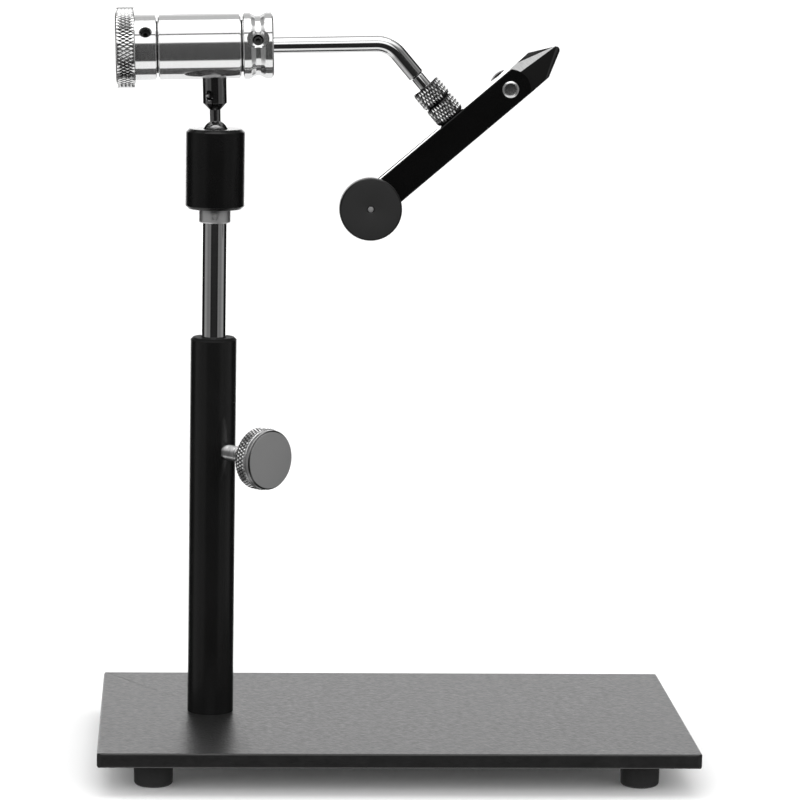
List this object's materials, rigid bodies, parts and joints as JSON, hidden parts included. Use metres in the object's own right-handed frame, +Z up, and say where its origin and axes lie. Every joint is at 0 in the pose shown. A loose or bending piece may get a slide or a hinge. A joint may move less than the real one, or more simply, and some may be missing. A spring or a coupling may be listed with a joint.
{
  "type": "fly tying vise",
  "caption": "Rotary fly tying vise: flat pedestal base on rubber feet, telescoping stem, ball-jointed rotary head, cranked arm and slim screw-closed hook jaws.",
  "frame": {"origin": "on the table under the middle of the base plate", "axes": "+X along the base towards the jaws, +Y away from the front edge, +Z up"},
  "size_m": [0.23, 0.14, 0.2941],
  "materials": {
    "plate_paint": "black powder coat with a fine hammered texture",
    "foot_rubber": "matt black moulded rubber",
    "zinc_steel": "plain zinc-plated steel",
    "column_paint": "smooth black powder coat",
    "knob_steel": "turned steel, diamond knurled",
    "bright_steel": "polished chrome plate",
    "socket_steel": "turned stainless steel",
    "nut_black": "satin black oxide on steel",
    "bronze": "plain bearing bronze",
    "dark_steel": "polished hardened steel, dark",
    "head_aluminium": "polished turned aluminium",
    "washer_nylon": "dark acetal",
    "screw_black": "black oxide set screw",
    "grip_steel": "bright plated steel, diamond knurled",
    "jaw_black": "black oxide on hardened steel",
    "knob_black": "satin black anodised aluminium"
  },
  "bodies": {
    "base": {"base_plate": "plate_paint", "foot_front_left": "foot_rubber", "foot_front_right": "foot_rubber", "foot_rear_left": "foot_rubber", "foot_rear_right": "foot_rubber", "foot_screws": "zinc_steel", "column": "column_paint", "column_bolt": "zinc_steel", "column_washer": "zinc_steel"},
    "thumbscrew_stud": {"thumbscrew_stud": "zinc_steel"},
    "thumbscrew_knob": {"thumbscrew_knob": "knob_steel"},
    "stem": {"stem": "bright_steel", "ball_socket": "socket_steel", "socket_pin": "socket_steel"},
    "clamp_nut": {"clamp_nut": "nut_black"},
    "ball_seat": {"ball_seat": "bronze"},
    "head": {"ball_stud": "dark_steel", "rotary_housing": "head_aluminium", "rear_bushing": "bronze", "front_bushing": "bronze"},
    "rotor": {"rotary_knob": "head_aluminium", "rear_set_screw": "screw_black", "rear_thrust_washer": "washer_nylon", "front_thrust_washer": "washer_nylon", "front_collar": "head_aluminium", "front_set_screw": "screw_black", "crank_arm": "bright_steel"},
    "jaw_lock_nut": {"jaw_lock_nut": "grip_steel"},
    "jaws": {"jaw_collar": "grip_steel", "jaw_collar_screw": "screw_black", "fixed_jaw": "jaw_black", "adjusting_screw": "bright_steel", "adjusting_washer": "zinc_steel", "guide_pin": "bright_steel", "jaw_spring": "zinc_steel"},
    "moving_jaw": {"moving_jaw": "jaw_black"},
    "adjusting_nut": {"adjusting_nut": "nut_black"},
    "closing_screw": {"closing_screw": "socket_steel"},
    "closing_knob": {"closing_knob": "knob_black"}
  },
  "joints": [
    {"name": "thumbscrew_slide", "type": "slide", "parent": "base", "child": "thumbscrew_stud", "axis": [0.6626, -0.749, 0], "range_m": [0, 0.00254]},
    {"name": "thumbscrew_turn", "type": "hinge", "parent": "thumbscrew_stud", "child": "thumbscrew_knob", "pos_m": [-0.04944, -0.02267, 0.1217], "axis": [0.6626, -0.749, 0], "range_deg": [0, 720]},
    {"name": "stem_slide", "type": "slide", "parent": "base", "child": "stem", "axis": [0, 0, 1], "range_m": [-0.04, 0.045]},
    {"name": "clamp_nut_turn", "type": "hinge", "parent": "stem", "child": "clamp_nut", "pos_m": [-0.0717, 0.0025, 0.2311], "axis": [0, 0, 1], "range_deg": [0, 180]},
    {"name": "head_swivel", "type": "hinge", "parent": "stem", "child": "ball_seat", "pos_m": [-0.0717, 0.0025, 0.2461], "axis": [0, 0, 1], "continuous": true},
    {"name": "head_tilt", "type": "hinge", "parent": "ball_seat", "child": "head", "pos_m": [-0.0717, 0.0025, 0.2461], "axis": [0, 1, 0], "range_deg": [-30, 30]},
    {"name": "rotary_turn", "type": "hinge", "parent": "head", "child": "rotor", "pos_m": [-0.07266, 0.0025, 0.27949], "axis": [0.9996, 0, 0.0288], "continuous": true},
    {"name": "lock_nut_turn", "type": "hinge", "parent": "rotor", "child": "jaw_lock_nut", "pos_m": [0.01166, 0.0025, 0.26253], "axis": [0.6541, 0, -0.7564], "range_deg": [0, 90]},
    {"name": "jaw_swivel", "type": "hinge", "parent": "rotor", "child": "jaws", "pos_m": [0.01716, 0.0025, 0.25618], "axis": [0.6541, 0, -0.7564], "range_deg": [-90, 90]},
    {"name": "jaw_open", "type": "hinge", "parent": "jaws", "child": "moving_jaw", "pos_m": [0.04223, 0.0025, 0.26464], "axis": [-0.6541, 0, 0.7564], "range_deg": [0, 3.2]},
    {"name": "adjusting_nut_turn", "type": "hinge", "parent": "jaws", "child": "adjusting_nut", "pos_m": [0.04223, 0.0135, 0.26464], "axis": [0, 1, 0], "range_deg": [-90, 90]},
    {"name": "closing_screw_slide", "type": "slide", "parent": "jaws", "child": "closing_screw", "axis": [0, -1, 0], "range_m": [0, 0.004]},
    {"name": "closing_knob_turn", "type": "hinge", "parent": "closing_screw", "child": "closing_knob", "pos_m": [-0.01163, -0.0095, 0.21807], "axis": [0, -1, 0], "range_deg": [0, 1440]}
  ],
  "couplings": [
    {"joint": "thumbscrew_turn", "follows": "thumbscrew_slide", "rad_per_m": 4947.4},
    {"joint": "closing_knob_turn", "follows": "closing_screw_slide", "rad_per_m": 6283.2},
    {"joint": "jaw_open", "follows": "closing_screw_slide", "rad_per_m": 13.963}
  ]
}
